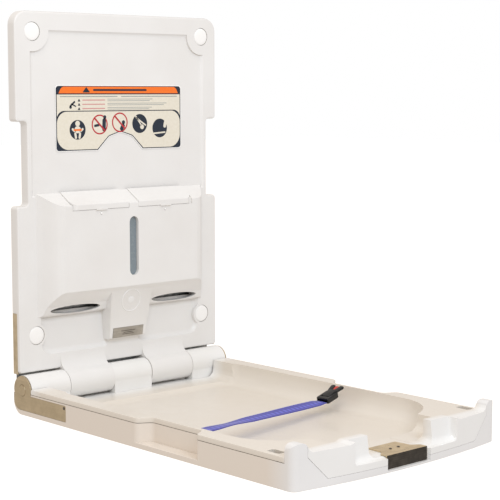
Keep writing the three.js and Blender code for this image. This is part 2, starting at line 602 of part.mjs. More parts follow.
function buckle() {
  const frame = alongZ(rounded([[4, -16, 4], [44, -16, 6], [44, 16, 6], [4, 16, 4]]), -6, 6,
    { bevel: 1.5, steps: 1 });
  const seat = join(box(14, 60, -10.4, 10.4, -0.5, 10), box(-2, 12, -13.4, 13.4, -2.4, 2.4));
  const camSlot = box(30, 60, -10.4, 10.4, -3.4, 3);
  add('buckle_body', onBuckle(cut(frame, seat, camSlot)), 'buckle');
  const arm = box(15, 46, -9.8, 9.8, 0, 5.4);
  const wings = alongZ(rounded([[44.6, -15, 0], [62, -15, 6], [62, 15, 6], [44.6, 15, 0]]), 1.6, 5.4);
  const fork = box(50, 70, -4, 4, 0, 8);
  const lifted = (body) => onBuckle(body.translate([-16, 0, -2.7]).rotate([0, -LEVER_LIFT, 0])
    .translate([16, 0, 2.7]));
  add('buckle_lever', lifted(cut(join(arm, wings), fork)), 'buckle');
  add('buckle_cam', lifted(box(34, 56, -6, 6, -2.6, -0.5)), 'cam');
}

// ---------------------------------------------------------------- assembly
add('back_panel', backPanel(), 'zinc');
add('wall_shell', wallShell(), 'shell');
fasteners();
add('label_plate', labelPlate(), 'label');
add('liner_window', linerWindow(), 'window');
add('name_plate', platePlace(box(-42.5, 42.5, -0.85, 0.35, -11.5, 11.5)), 'steel');
addPair('lid', lid(), 'shell');
addPair('lid_pin', rodX(1.7, 20, 163, LID_PIN_Y, LID_PIN_Z, 12), 'zinc');
addPair('lid_catch', rodY(3, BULGE_FRONT - 1.4, BULGE_FRONT + 5, 90, 366, 16), 'cap');
addPair('wall_bracket', wallPlateShape(0), 'steel');
hingeHardware();

add('bed_tray', bedTray(), 'tray');
add('bed_outer_shell', bedOuterShell(), 'tray');
addPair('bed_hinge_plate', cut(sidePlateShape(0), rodX(12.6, 270, 290, AXIS_Y, AXIS_Z, 24)), 'steel');
add('handle_plate', handlePlate(), 'steel');
addPair('handle_screw', panScrew(11, -848, SHELF_Z + 2.3), 'zinc');
add('strap_webbing', strapWebbing(), 'webbing');
add('strap_anchor', strapAnchor(), 'nylon');
buckle();

export default object;
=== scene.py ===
"""Wall-mounted fold-down changing table, open: the looks of every piece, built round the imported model.

Metres, +X to the right of a person facing the wall, +Y into the wall, +Z up.
"""

import json
import logging
import math
from dataclasses import dataclass
from enum import Enum
from typing import Any

import bmesh
import bpy
from mathutils import Matrix, Vector

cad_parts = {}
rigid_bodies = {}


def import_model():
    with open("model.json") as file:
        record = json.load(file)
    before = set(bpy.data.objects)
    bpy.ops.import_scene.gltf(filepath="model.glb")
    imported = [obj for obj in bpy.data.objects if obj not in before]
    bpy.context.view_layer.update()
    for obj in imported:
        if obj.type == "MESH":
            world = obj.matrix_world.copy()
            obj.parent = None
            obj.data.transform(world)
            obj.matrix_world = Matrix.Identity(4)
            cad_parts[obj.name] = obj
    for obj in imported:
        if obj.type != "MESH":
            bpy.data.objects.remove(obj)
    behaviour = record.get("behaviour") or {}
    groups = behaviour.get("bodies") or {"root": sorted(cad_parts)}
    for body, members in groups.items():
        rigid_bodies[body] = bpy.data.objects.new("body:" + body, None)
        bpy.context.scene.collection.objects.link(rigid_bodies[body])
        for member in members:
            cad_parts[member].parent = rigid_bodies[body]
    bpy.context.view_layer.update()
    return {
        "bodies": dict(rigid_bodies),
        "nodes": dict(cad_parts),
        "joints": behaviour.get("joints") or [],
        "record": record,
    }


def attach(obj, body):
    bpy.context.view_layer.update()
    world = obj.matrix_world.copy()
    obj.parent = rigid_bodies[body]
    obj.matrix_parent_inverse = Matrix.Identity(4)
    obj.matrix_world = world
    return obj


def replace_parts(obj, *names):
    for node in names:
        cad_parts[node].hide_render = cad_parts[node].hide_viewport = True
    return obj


LOG = logging.getLogger("changing_table")
MM = 0.001
Frame = dict[str, Any]


class Body(str, Enum):
    """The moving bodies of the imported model."""

    WALL = "wall"
    BED = "bed"
    LID_LEFT = "lid_left"
    LID_RIGHT = "lid_right"
    LEVER = "buckle_lever"


class Side(Enum):
    """The two sides of the unit, with the sign of their X."""

    LEFT = -1
    RIGHT = 1

    @property
    def word(self) -> str:
        """The side's word in piece names."""
        return self.name.lower()

    @property
    def lid(self) -> Body:
        """The dispenser lid on this side, as a moving body."""
        return Body[f"LID_{self.name}"]


# ---------------------------------------------------------------- finishes
def linear(code: str) -> tuple[float, float, float, float]:
    """Turns an sRGB hex colour into the linear RGBA that Blender's sockets take.

    Args:
        code: Six hex digits after a hash.

    Returns:
        Linear red, green, blue and an alpha of 1.
    """
    def channel(value: float) -> float:
        """One channel from sRGB to linear."""
        return value / 12.92 if value <= 0.04045 else ((value + 0.055) / 1.055) ** 2.4

    red, green, blue = (channel(int(code[i:i + 2], 16) / 255) for i in (1, 3, 5))
    return red, green, blue, 1.0


def add_node(tree: bpy.types.NodeTree, kind: str, sockets: dict[str | int, Any] | None = None,
             **settings: Any) -> bpy.types.Node:
    """Adds a node, sets its properties, and fills or links its inputs.

    Args:
        tree: The tree that gets the node.
        kind: The node's type name.
        sockets: Value or source socket for each input, by name or number.
        **settings: Properties of the node itself.

    Returns:
        The new node.
    """
    node = tree.nodes.new(kind)
    for key, value in settings.items():
        setattr(node, key, value)
    for key, value in (sockets or {}).items():
        if isinstance(value, bpy.types.NodeSocket):
            tree.links.new(value, node.inputs[key])
        else:
            node.inputs[key].default_value = value
    return node


def per_metre(size_mm: float) -> float:
    """Noise scale at which one cell is about size_mm across on metre coordinates."""
    return 1.0 / (size_mm * MM)


def waves_per_metre(period_mm: float) -> float:
    """Wave texture scale at which its bands repeat every period_mm, as its own unit is 1/20 radian."""
    return math.tau / 20 * per_metre(period_mm)


@dataclass(frozen=True)
class Finish:
    """What every finish has: a name, its main colour and how rough its surface is."""

    name: str
    colour: str
    roughness: float = 0.5

    def start(self) -> tuple[bpy.types.Material, bpy.types.NodeTree, bpy.types.Node, bpy.types.Node]:
        """Makes an empty material with its shader and its coordinates.

        Returns:
            The material, its tree, the Principled shader and the Texture Coordinate node.
        """
        material = bpy.data.materials.new(self.name)
        material.use_nodes = True
        tree = material.node_tree
        tree.nodes.clear()
        shader = add_node(tree, "ShaderNodeBsdfPrincipled", {"Roughness": self.roughness,
                                                             "Base Color": linear(self.colour)})
        add_node(tree, "ShaderNodeOutputMaterial", {"Surface": shader.outputs[0]})
        return material, tree, shader, add_node(tree, "ShaderNodeTexCoord")

    def noise(self, tree: bpy.types.NodeTree, place: bpy.types.NodeSocket, size_mm: float,
              detail: float = 2.0) -> bpy.types.NodeSocket:
        """A noise pattern with cells of about size_mm; returns its factor."""
        return add_node(tree, "ShaderNodeTexNoise", {"Vector": place, "Scale": per_metre(size_mm),
                                                     "Detail": detail}).outputs["Fac"]

    def spread(self, tree: bpy.types.NodeTree, factor: bpy.types.NodeSocket, low: float,
               high: float) -> bpy.types.NodeSocket:
        """Spreads a pattern's middle range over low to high; returns the result."""
        return add_node(tree, "ShaderNodeMapRange",
                        {0: factor, 1: 0.3, 2: 0.7, 3: low, 4: high}).outputs[0]

    def tint(self, tree: bpy.types.NodeTree, factor: bpy.types.NodeSocket, first: Any,
             second: Any) -> bpy.types.NodeSocket:
        """Mixes two colours, or two colour sockets, by a factor; returns the colour."""
        return add_node(tree, "ShaderNodeMix", {0: factor, 6: first, 7: second},
                        data_type="RGBA").outputs[2]


@dataclass(frozen=True)
class MouldedPolyethylene(Finish):
    """Moulded high-density polyethylene: an even, waxy plastic with a fine grain from the mould."""

    second: str = "#E4E2DD"
    # Painted shade: a darker, warmer colour for inside corners.
    grime: str = "#C9BFB0"
    # Painted shade: a dark colour for gaps between mouldings.
    gap: str = "#57524B"
    grain_mm: float = 1.8
    grain_depth_mm: float = 0.05
    flow_mm: float = 140.0       # patches of slightly different colour
    rubbed_mm: float = 30.0      # patches of slightly different gloss
    sink_mm: float = 55.0        # hollows where a thick wall has shrunk
    sink_depth_mm: float = 0.5
    crease_mm: float = 9.0       # reach of the painted crease shade out of an inside corner
    grime_share: float = 0.35
    gap_share: float = 0.9
    used: str = ""               # colour of the painted warm light
    used_from_mm: float = 62.0   # distance from the wall where the painted warm light begins
    used_over_mm: float = 43.0   # length over which it begins
    used_to_mm: float = 856.0    # distance from the wall where it ends
    fade_mm: float = 21.0        # length over which it ends

    def worn_floor(self, tree: bpy.types.NodeTree, where: bpy.types.NodeSocket) -> bpy.types.NodeSocket:
        """Share of the painted warm light, which lies between two distances from the wall.

        Args:
            tree: The material's tree.
            where: The place on the piece, in metres.

        Returns:
            1 where the warm light is painted and 0 off it.
        """
        depth = add_node(tree, "ShaderNodeSeparateXYZ", {0: where}).outputs["Y"]
        begin, end = -self.used_from_mm * MM, -self.used_to_mm * MM
        past = add_node(tree, "ShaderNodeMapRange",
                        {0: depth, 1: begin, 2: begin - self.used_over_mm * MM, 3: 0.0, 4: 1.0})
        short = add_node(tree, "ShaderNodeMapRange",
                         {0: depth, 1: end + self.fade_mm * MM, 2: end, 3: 1.0, 4: 0.0})
        return add_node(tree, "ShaderNodeMath", {0: past.outputs[0], 1: short.outputs[0]},
                        operation="MULTIPLY").outputs[0]

    def build(self) -> bpy.types.Material:
        """Makes the material.

        Returns:
            The plastic, with slow colour variation, painted shade in its creases and gaps, painted warm light
            where it is set, and grain in its bump.
        """
        material, tree, shader, place = self.start()
        where = place.outputs["Object"]
        flow = self.spread(tree, self.noise(tree, where, self.flow_mm, 3.0), 0.0, 1.0)
        even = self.tint(tree, flow, linear(self.colour), linear(self.second))
        # Painted shade: within about 9 mm of an inside corner the colour is darkened and warmed, and gaps
        # between mouldings are painted dark.
        creases = add_node(tree, "ShaderNodeAmbientOcclusion", {"Distance": self.crease_mm * MM}, samples=8)
        crease_shade_amount = add_node(tree, "ShaderNodeMapRange", {0: creases.outputs["AO"], 1: 0.2, 2: 0.75,
                                                      3: self.grime_share, 4: 0.0}).outputs[0]
        painted_gap_shades = add_node(tree, "ShaderNodeMapRange", {0: creases.outputs["AO"], 1: 0.04, 2: 0.3,
                                                     3: self.gap_share, 4: 0.0}).outputs[0]
        # Painted warm light: a warmer colour between two distances from the wall.
        if self.used:
            even = self.tint(tree, self.worn_floor(tree, where), even, linear(self.used))
        crease_shaded = self.tint(tree, crease_shade_amount, even, linear(self.grime))
        tree.links.new(self.tint(tree, painted_gap_shades, crease_shaded, linear(self.gap)), shader.inputs["Base Color"])
        # Rubbed patches are a little glossier than the rest.
        rubbed = self.noise(tree, where, self.rubbed_mm, 4.0)
        tree.links.new(self.spread(tree, rubbed, self.roughness - 0.07, self.roughness + 0.07),
                       shader.inputs["Roughness"])
        # The real grain is about 0.6 mm; it is drawn three times as coarse so that it shows.
        grain = self.noise(tree, where, self.grain_mm, 3.0)
        bump = add_node(tree, "ShaderNodeBump", {"Height": grain, "Strength": 0.6,
                                                 "Distance": self.grain_depth_mm * MM})
        sunk = self.noise(tree, where, self.sink_mm, 1.0)
        wave = add_node(tree, "ShaderNodeBump", {"Height": sunk, "Strength": 0.5, "Normal": bump.outputs[0],
                                                 "Distance": self.sink_depth_mm * MM})
        tree.links.new(wave.outputs[0], shader.inputs["Normal"])
        shader.inputs["IOR"].default_value = 1.5
        # A thin polished skin from the mould catches highlights along the edges.
        shader.inputs["Coat Weight"].default_value = 0.35
        shader.inputs["Coat Roughness"].default_value = 0.16
        return material


@dataclass(frozen=True)
class MouldedPlastic(Finish):
    """Small injection-moulded pieces: a single colour, satin to glossy, with faint speckle."""

    second: str = "#FFFFFF"
    speckle_mm: float = 1.2
    depth_mm: float = 0.02
    patch_mm: float = 9.0        # patches of slightly different gloss

    def build(self) -> bpy.types.Material:
        """Makes the material.

        Returns:
            The plastic, with a faint speckle in its colour and surface.
        """
        material, tree, shader, place = self.start()
        speckle = self.noise(tree, place.outputs["Object"], self.speckle_mm, 3.0)
        tree.links.new(self.tint(tree, self.spread(tree, speckle, 0.0, 0.6), linear(self.colour),
                                 linear(self.second)), shader.inputs["Base Color"])
        patches = self.noise(tree, place.outputs["Object"], self.patch_mm)
        tree.links.new(self.spread(tree, patches, self.roughness - 0.05, self.roughness + 0.06),
                       shader.inputs["Roughness"])
        bump = add_node(tree, "ShaderNodeBump", {"Height": speckle, "Strength": 0.5,
                                                 "Distance": self.depth_mm * MM})
        tree.links.new(bump.outputs[0], shader.inputs["Normal"])
        shader.inputs["IOR"].default_value = 1.5
        return material


@dataclass(frozen=True)
class BrushedSteel(Finish):
    """Stainless sheet brushed along one direction, which draws reflections out across the lines."""

    second: str = "#8F8371"
    along: tuple[float, float, float] = (0.0, 1.0, 0.0)
    line_mm: float = 0.9
    length_mm: float = 60.0
    line_depth_mm: float = 0.03
    worn_mm: float = 18.0        # worn patches

    def build(self) -> bpy.types.Material:
        """Makes the material.

        Returns:
            The metal, with brush lines in its colour, roughness and bump, and worn patches.
        """
        material, tree, shader, place = self.start()
        shader.inputs["Metallic"].default_value = 1.0
        # Lines are drawn 0.9 mm wide, coarser than the real 0.2 mm, so that they show.
        scale = [per_metre(self.length_mm if part else self.line_mm) for part in self.along]
        lines = add_node(tree, "ShaderNodeMapping", {"Vector": place.outputs["Object"], "Scale": scale})
        brush = add_node(tree, "ShaderNodeTexNoise", {"Vector": lines.outputs[0], "Scale": 1.0,
                                                      "Detail": 3.0}).outputs["Fac"]
        worn = self.noise(tree, place.outputs["Object"], self.worn_mm, 4.0)
        mixed = add_node(tree, "ShaderNodeMath", {0: brush, 1: worn}, operation="MULTIPLY").outputs[0]
        share = add_node(tree, "ShaderNodeMapRange",
                         {0: mixed, 1: 0.12, 2: 0.42, 3: 0.9, 4: 0.0}).outputs[0]
        tree.links.new(self.tint(tree, share, linear(self.colour), linear(self.second)),
                       shader.inputs["Base Color"])
        tree.links.new(self.spread(tree, brush, self.roughness - 0.08, self.roughness + 0.1),
                       shader.inputs["Roughness"])
        bump = add_node(tree, "ShaderNodeBump", {"Height": brush, "Strength": 0.35,
                                                 "Distance": self.line_depth_mm * MM})
        tree.links.new(bump.outputs[0], shader.inputs["Normal"])
        return material


@dataclass(frozen=True)
class ZincPlate(Finish):
    """Galvanised steel: dull zinc with the flaky grain, or spangle, of a hot dip."""

    second: str = "#9FA3A6"
    spangle_mm: float = 9.0

    def build(self) -> bpy.types.Material:
        """Makes the material.

        Returns:
            The metal, with cells of two greys that also differ in roughness.
        """
        material, tree, shader, place = self.start()
        shader.inputs["Metallic"].default_value = 1.0
        cells = add_node(tree, "ShaderNodeTexVoronoi", {"Vector": place.outputs["Object"],
                                                        "Scale": per_metre(self.spangle_mm)})
        grey = add_node(tree, "ShaderNodeSeparateColor", {0: cells.outputs["Color"]}).outputs[0]
        tree.links.new(self.tint(tree, grey, linear(self.colour), linear(self.second)),
                       shader.inputs["Base Color"])
        tree.links.new(add_node(tree, "ShaderNodeMapRange", {0: grey, 3: self.roughness - 0.08,
                                                             4: self.roughness + 0.12}).outputs[0],
                       shader.inputs["Roughness"])
        return material


@dataclass(frozen=True)
class PrintedFilm(Finish):
    """Printed polyester film: flat colour under a clear satin face, with slightly uneven ink."""

    second: str = "#FFFFFF"
    uneven: float = 0.25         # share of the second colour where the ink is thin
    blotch_mm: float = 6.0
    grain_mm: float = 2.0
    grain_depth_mm: float = 0.02

    def build(self) -> bpy.types.Material:
        """Makes the material.

        Returns:
            The ink, with blotches in its colour and a faint grain in its bump.
        """
        material, tree, shader, place = self.start()
        blotch = self.noise(tree, place.outputs["Object"], self.blotch_mm, 4.0)
        tree.links.new(self.tint(tree, self.spread(tree, blotch, 0.0, self.uneven), linear(self.colour),
                                 linear(self.second)), shader.inputs["Base Color"])
        grain = self.noise(tree, place.outputs["Object"], self.grain_mm)
        bump = add_node(tree, "ShaderNodeBump", {"Height": grain, "Strength": 0.2,
                                                 "Distance": self.grain_depth_mm * MM})
        tree.links.new(bump.outputs[0], shader.inputs["Normal"])
        return material


@dataclass(frozen=True)
class WovenWebbing(Finish):
    """Woven polypropylene webbing: ribs across the tape and lengthwise rows, with a soft sheen."""

    second: str = "#2B2F86"
    rib_mm: float = 13.823       # ribs across the tape
    row_mm: float = 19.478       # rows along it
    thread_depth_mm: float = 0.35

    def build(self) -> bpy.types.Material:
        """Makes the material; it reads a UV map laid out in metres along and across the tape.

        Returns:
            The fabric, with its threads in colour and bump.
        """
        material, tree, shader, place = self.start()
        # Threads are about 1 mm apart on such a tape; the weave's bars are drawn more than ten times as
        # coarse, because finer ones vanish at this distance.
        across = add_node(tree, "ShaderNodeTexWave",
                          {"Vector": place.outputs["UV"], "Scale": waves_per_metre(self.rib_mm),
                           "Distortion": 1.5}, bands_direction="X")
        along = add_node(tree, "ShaderNodeTexWave",
                         {"Vector": place.outputs["UV"], "Scale": waves_per_metre(self.row_mm),
                          "Distortion": 0.6}, bands_direction="Y")
        weave = add_node(tree, "ShaderNodeMath", {0: across.outputs["Fac"], 1: along.outputs["Fac"]},
                         operation="MULTIPLY").outputs[0]
        tree.links.new(self.tint(tree, weave, linear(self.second), linear(self.colour)),
                       shader.inputs["Base Color"])
        bump = add_node(tree, "ShaderNodeBump", {"Height": weave, "Strength": 0.8,
                                                 "Distance": self.thread_depth_mm * MM})
        tree.links.new(bump.outputs[0], shader.inputs["Normal"])
        shader.inputs["Sheen Weight"].default_value = 0.5
        shader.inputs["Sheen Roughness"].default_value = 0.4
        return material


class Finishes:
    """Every finish of the changing table, made once."""

    def __init__(self) -> None:
        """Builds all the materials."""
        # High-density polyethylene, cool light grey-white on the wall unit.
        self.wall = MouldedPolyethylene("moulded_polyethylene_wall", "#ECECEB", 0.38,
                                        second="#E7E6E4").build()
        # The same plastic on the bed, white at the hinge and the front, with painted warm light between them.
        self.bed = MouldedPolyethylene("moulded_polyethylene_bed", "#F0F0EF", 0.36, second="#EBEBE9",
                                       gap_share=0.6, used="#E3DCD1").build()
        # The bed's outer shell, of the same plastic, has painted warm light everywhere but at its front.
        self.bed_outside = MouldedPolyethylene("moulded_polyethylene_bed_outside", "#EDEDED", 0.4,
                                               second="#E6E6E6", gap_share=0.5, used="#E6DDD2",
                                               used_from_mm=-50.0, fade_mm=60.0).build()
        # Glossy white polypropylene caps, brighter than the mouldings.
        self.cap = MouldedPlastic("glossy_polypropylene", "#FCFCFB", 0.22, second="#F4F4F2").build()
        # Stainless steel, brushed lengthwise; its colour is painted tan, as the reflection of a warm room.
        self.side_steel = BrushedSteel("brushed_stainless_side", "#CDBD9F", 0.38, along=(0, 1, 0),
                                       second="#B5A68A").build()
        self.wall_steel = BrushedSteel("brushed_stainless_upright", "#DCCDB0", 0.38, along=(0, 0, 1),
                                       second="#B5A68A").build()
        self.handle_steel = BrushedSteel("brushed_stainless_handle", "#F0DDB8", 0.34, along=(1, 0, 0),
                                         second="#C4B28F").build()
        # The handle's front faces are painted dark, as the shade and dark reflection they show.
        self.worn_steel = BrushedSteel("stainless_handle_painted_shade", "#5E5A54", 0.42, along=(1, 0, 0),
                                       second="#3B3835").build()
        # Thin aluminium of the name plate, paler than the steel.
        self.plate = BrushedSteel("brushed_aluminium", "#C9C6C0", 0.4, along=(1, 0, 0),
                                  second="#A5A29C").build()
        # Hot-dip zinc on the hidden back sheet, shaft, pins and bolts.
        self.zinc = ZincPlate("galvanised_steel", "#C3C6C8", 0.42).build()
        # Zinc-plated screws, darkened by cleaning.
        self.screw = ZincPlate("plated_screw_steel", "#6E6A64", 0.35, second="#55524E",
                               spangle_mm=2.0).build()
        # Label inks and their film.
        self.film = PrintedFilm("polyester_film", "#E9E4D6", 0.38, second="#E2DCCB", uneven=0.8).build()
        self.navy = PrintedFilm("navy_ink", "#142233", 0.3, second="#24374C").build()
        self.orange = PrintedFilm("orange_ink", "#F8741A", 0.32, second="#FF8E3C").build()
        self.red = PrintedFilm("red_ink", "#B8252E", 0.32, second="#D0525A").build()
        self.pink = PrintedFilm("pale_red_ink", "#CF8F8E", 0.34, second="#DFAFAB").build()
        self.grey = PrintedFilm("grey_ink", "#8F9594", 0.34, second="#B0B5B2", uneven=0.8).build()
        # Smoky grey acrylic behind the level slot.
        self.window = MouldedPlastic("smoked_acrylic", "#7F8B92", 0.25, second="#8B969D").build()
        # Black nylon of the buckle, satin.
        self.nylon = MouldedPlastic("black_nylon", "#07090C", 0.4, second="#0E1216").build()
        # Nylon filled with glass fibre, greyer and duller, for bushes, damper sleeve and strap anchor.
        self.grey_nylon = MouldedPlastic("grey_nylon", "#3A3D41", 0.5, second="#474A4F").build()
        # Red acetal cam between the wings.
        self.cam = MouldedPlastic("red_acetal", "#C22B20", 0.35, second="#D63F30").build()
        # Blue polypropylene tape, matt with a soft sheen.
        self.webbing = WovenWebbing("woven_polypropylene", "#5A60D6", 0.75, second="#2A2EA0").build()


# ---------------------------------------------------------------- making pieces
def smooth(mesh: bpy.types.Mesh, angle: float = 35.0) -> None:
    """Shades a mesh smoothly, with sharp edges where it turns by more than angle degrees."""
    for face in mesh.polygons:
        face.use_smooth = True
    mesh.set_sharp_from_angle(angle=math.radians(angle))


def make_piece(bm: bmesh.types.BMesh, name: str, material: bpy.types.Material, body: str) -> bpy.types.Object:
    """Turns a bmesh into a finished piece that rides on its body.

    Args:
        bm: The shape, in metres and in place; it is freed.
        name: The piece's name.
        material: Its finish.
        body: The body it moves with.

    Returns:
        The new object.
    """
    bmesh.ops.remove_doubles(bm, verts=bm.verts, dist=1e-7)
    bmesh.ops.recalc_face_normals(bm, faces=bm.faces)
    mesh = bpy.data.meshes.new(name)
    bm.to_mesh(mesh)
    bm.free()
    smooth(mesh)
    mesh.materials.append(material)
    piece = bpy.data.objects.new(name, mesh)
    bpy.context.scene.collection.objects.link(piece)
    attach(piece, body)
    LOG.info("%s: %d faces on %s", name, len(mesh.polygons), body)
    return piece


def spun(profile: list[tuple[float, float]], steps: int = 48, ring: bool = False) -> bmesh.types.BMesh:
    """Spins a profile round the Y axis into a closed turned shape.

    Args:
        profile: Pairs of radius and Y, in millimetres; both ends lie on the axis unless it is a ring.
        steps: Faces round the axis.
        ring: Whether the profile closes on itself, clear of the axis.

    Returns:
        The turned shape, centred on the Y axis.
    """
    bm = bmesh.new()
    points = [bm.verts.new((r * MM, y * MM, 0)) for r, y in profile]
    edges = [bm.edges.new(pair) for pair in zip(points, points[1:] + points[:1] if ring else points[1:])]
    bmesh.ops.spin(bm, geom=points + edges, cent=(0, 0, 0), axis=(0, 1, 0), angle=math.tau, steps=steps,
                   use_merge=True, use_duplicate=False)
    bmesh.ops.remove_doubles(bm, verts=bm.verts, dist=1e-6)
    return bm


def put(bm: bmesh.types.BMesh, matrix: Matrix) -> bmesh.types.BMesh:
    """Moves a whole bmesh by a matrix and returns it."""
    bmesh.ops.transform(bm, matrix=matrix, verts=bm.verts)
    return bm


def absorb(bm: bmesh.types.BMesh, part: bmesh.types.BMesh) -> None:
    """Adds a part to a bmesh and frees the part."""
    mesh = bpy.data.meshes.new("part")
    part.to_mesh(mesh)
    part.free()
    bm.from_mesh(mesh)
    bpy.data.meshes.remove(mesh)


def at_mm(x: float, y: float, z: float) -> Matrix:
    """A move by millimetres."""
    return Matrix.Translation((x * MM, y * MM, z * MM))


@dataclass
class Moulding:
    """A piece whose shape comes from its CAD node, with the edges rounded as they are made."""

    node: str
    body: str
    slot: str
    radius_mm: float
    name: str = ""
    segments: int = 3
    limit: float = 30.0
    parting_z: float | None = None    # height of a parting line whose edge stays nearly sharp
    parting_reach: float = 0.6        # how far from that height an edge still belongs to it
    parting_share: float = 0.15       # share of the radius that such an edge gets

    def round_edges(self, bm: bmesh.types.BMesh) -> None:
        """Weights every edge that turns by more than the limit, so that the bevel rounds it."""
        weights = bm.edges.layers.float.new("bevel_weight_edge")
        for edge in bm.edges:
            if len(edge.link_faces) == 2 and edge.calc_face_angle(0.0) > math.radians(self.limit):
                parting = self.parting_z is not None and all(
                    abs(v.co.z - self.parting_z * MM) < self.parting_reach * MM for v in edge.verts)
                edge[weights] = self.parting_share if parting else 1.0

    def build(self, frame: Frame, material: bpy.types.Material) -> bpy.types.Object:
        """Copies the node, merges and cleans it, and rounds its edges.

        Args:
            material: The finish.

        Returns:
            The piece that stands for the node.
        """
        bm = bmesh.new()
        bm.from_mesh(frame["nodes"][self.node].data)
        bmesh.ops.remove_doubles(bm, verts=bm.verts, dist=2e-6)
        bmesh.ops.dissolve_limit(bm, angle_limit=math.radians(1.0), verts=bm.verts, edges=bm.edges)
        self.round_edges(bm)
        mesh = bpy.data.meshes.new(self.name or f"{self.node}_finished")
        bm.to_mesh(mesh)
        bm.free()
        for face in mesh.polygons:
            face.use_smooth = True
        mesh.materials.append(material)
        piece = bpy.data.objects.new(mesh.name, mesh)
        bpy.context.scene.collection.objects.link(piece)
        bevel = piece.modifiers.new("edges", "BEVEL")
        bevel.width = self.radius_mm * MM
        bevel.segments = self.segments
        bevel.limit_method = "WEIGHT"
        bevel.use_clamp_overlap = True
        bevel.miter_outer = "MITER_ARC"
        weighted = piece.modifiers.new("shading", "WEIGHTED_NORMAL")
        weighted.keep_sharp = True
        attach(piece, self.body)
        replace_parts(piece, self.node)
        LOG.info("%s stands for %s on %s", piece.name, self.node, self.body)
        return piece


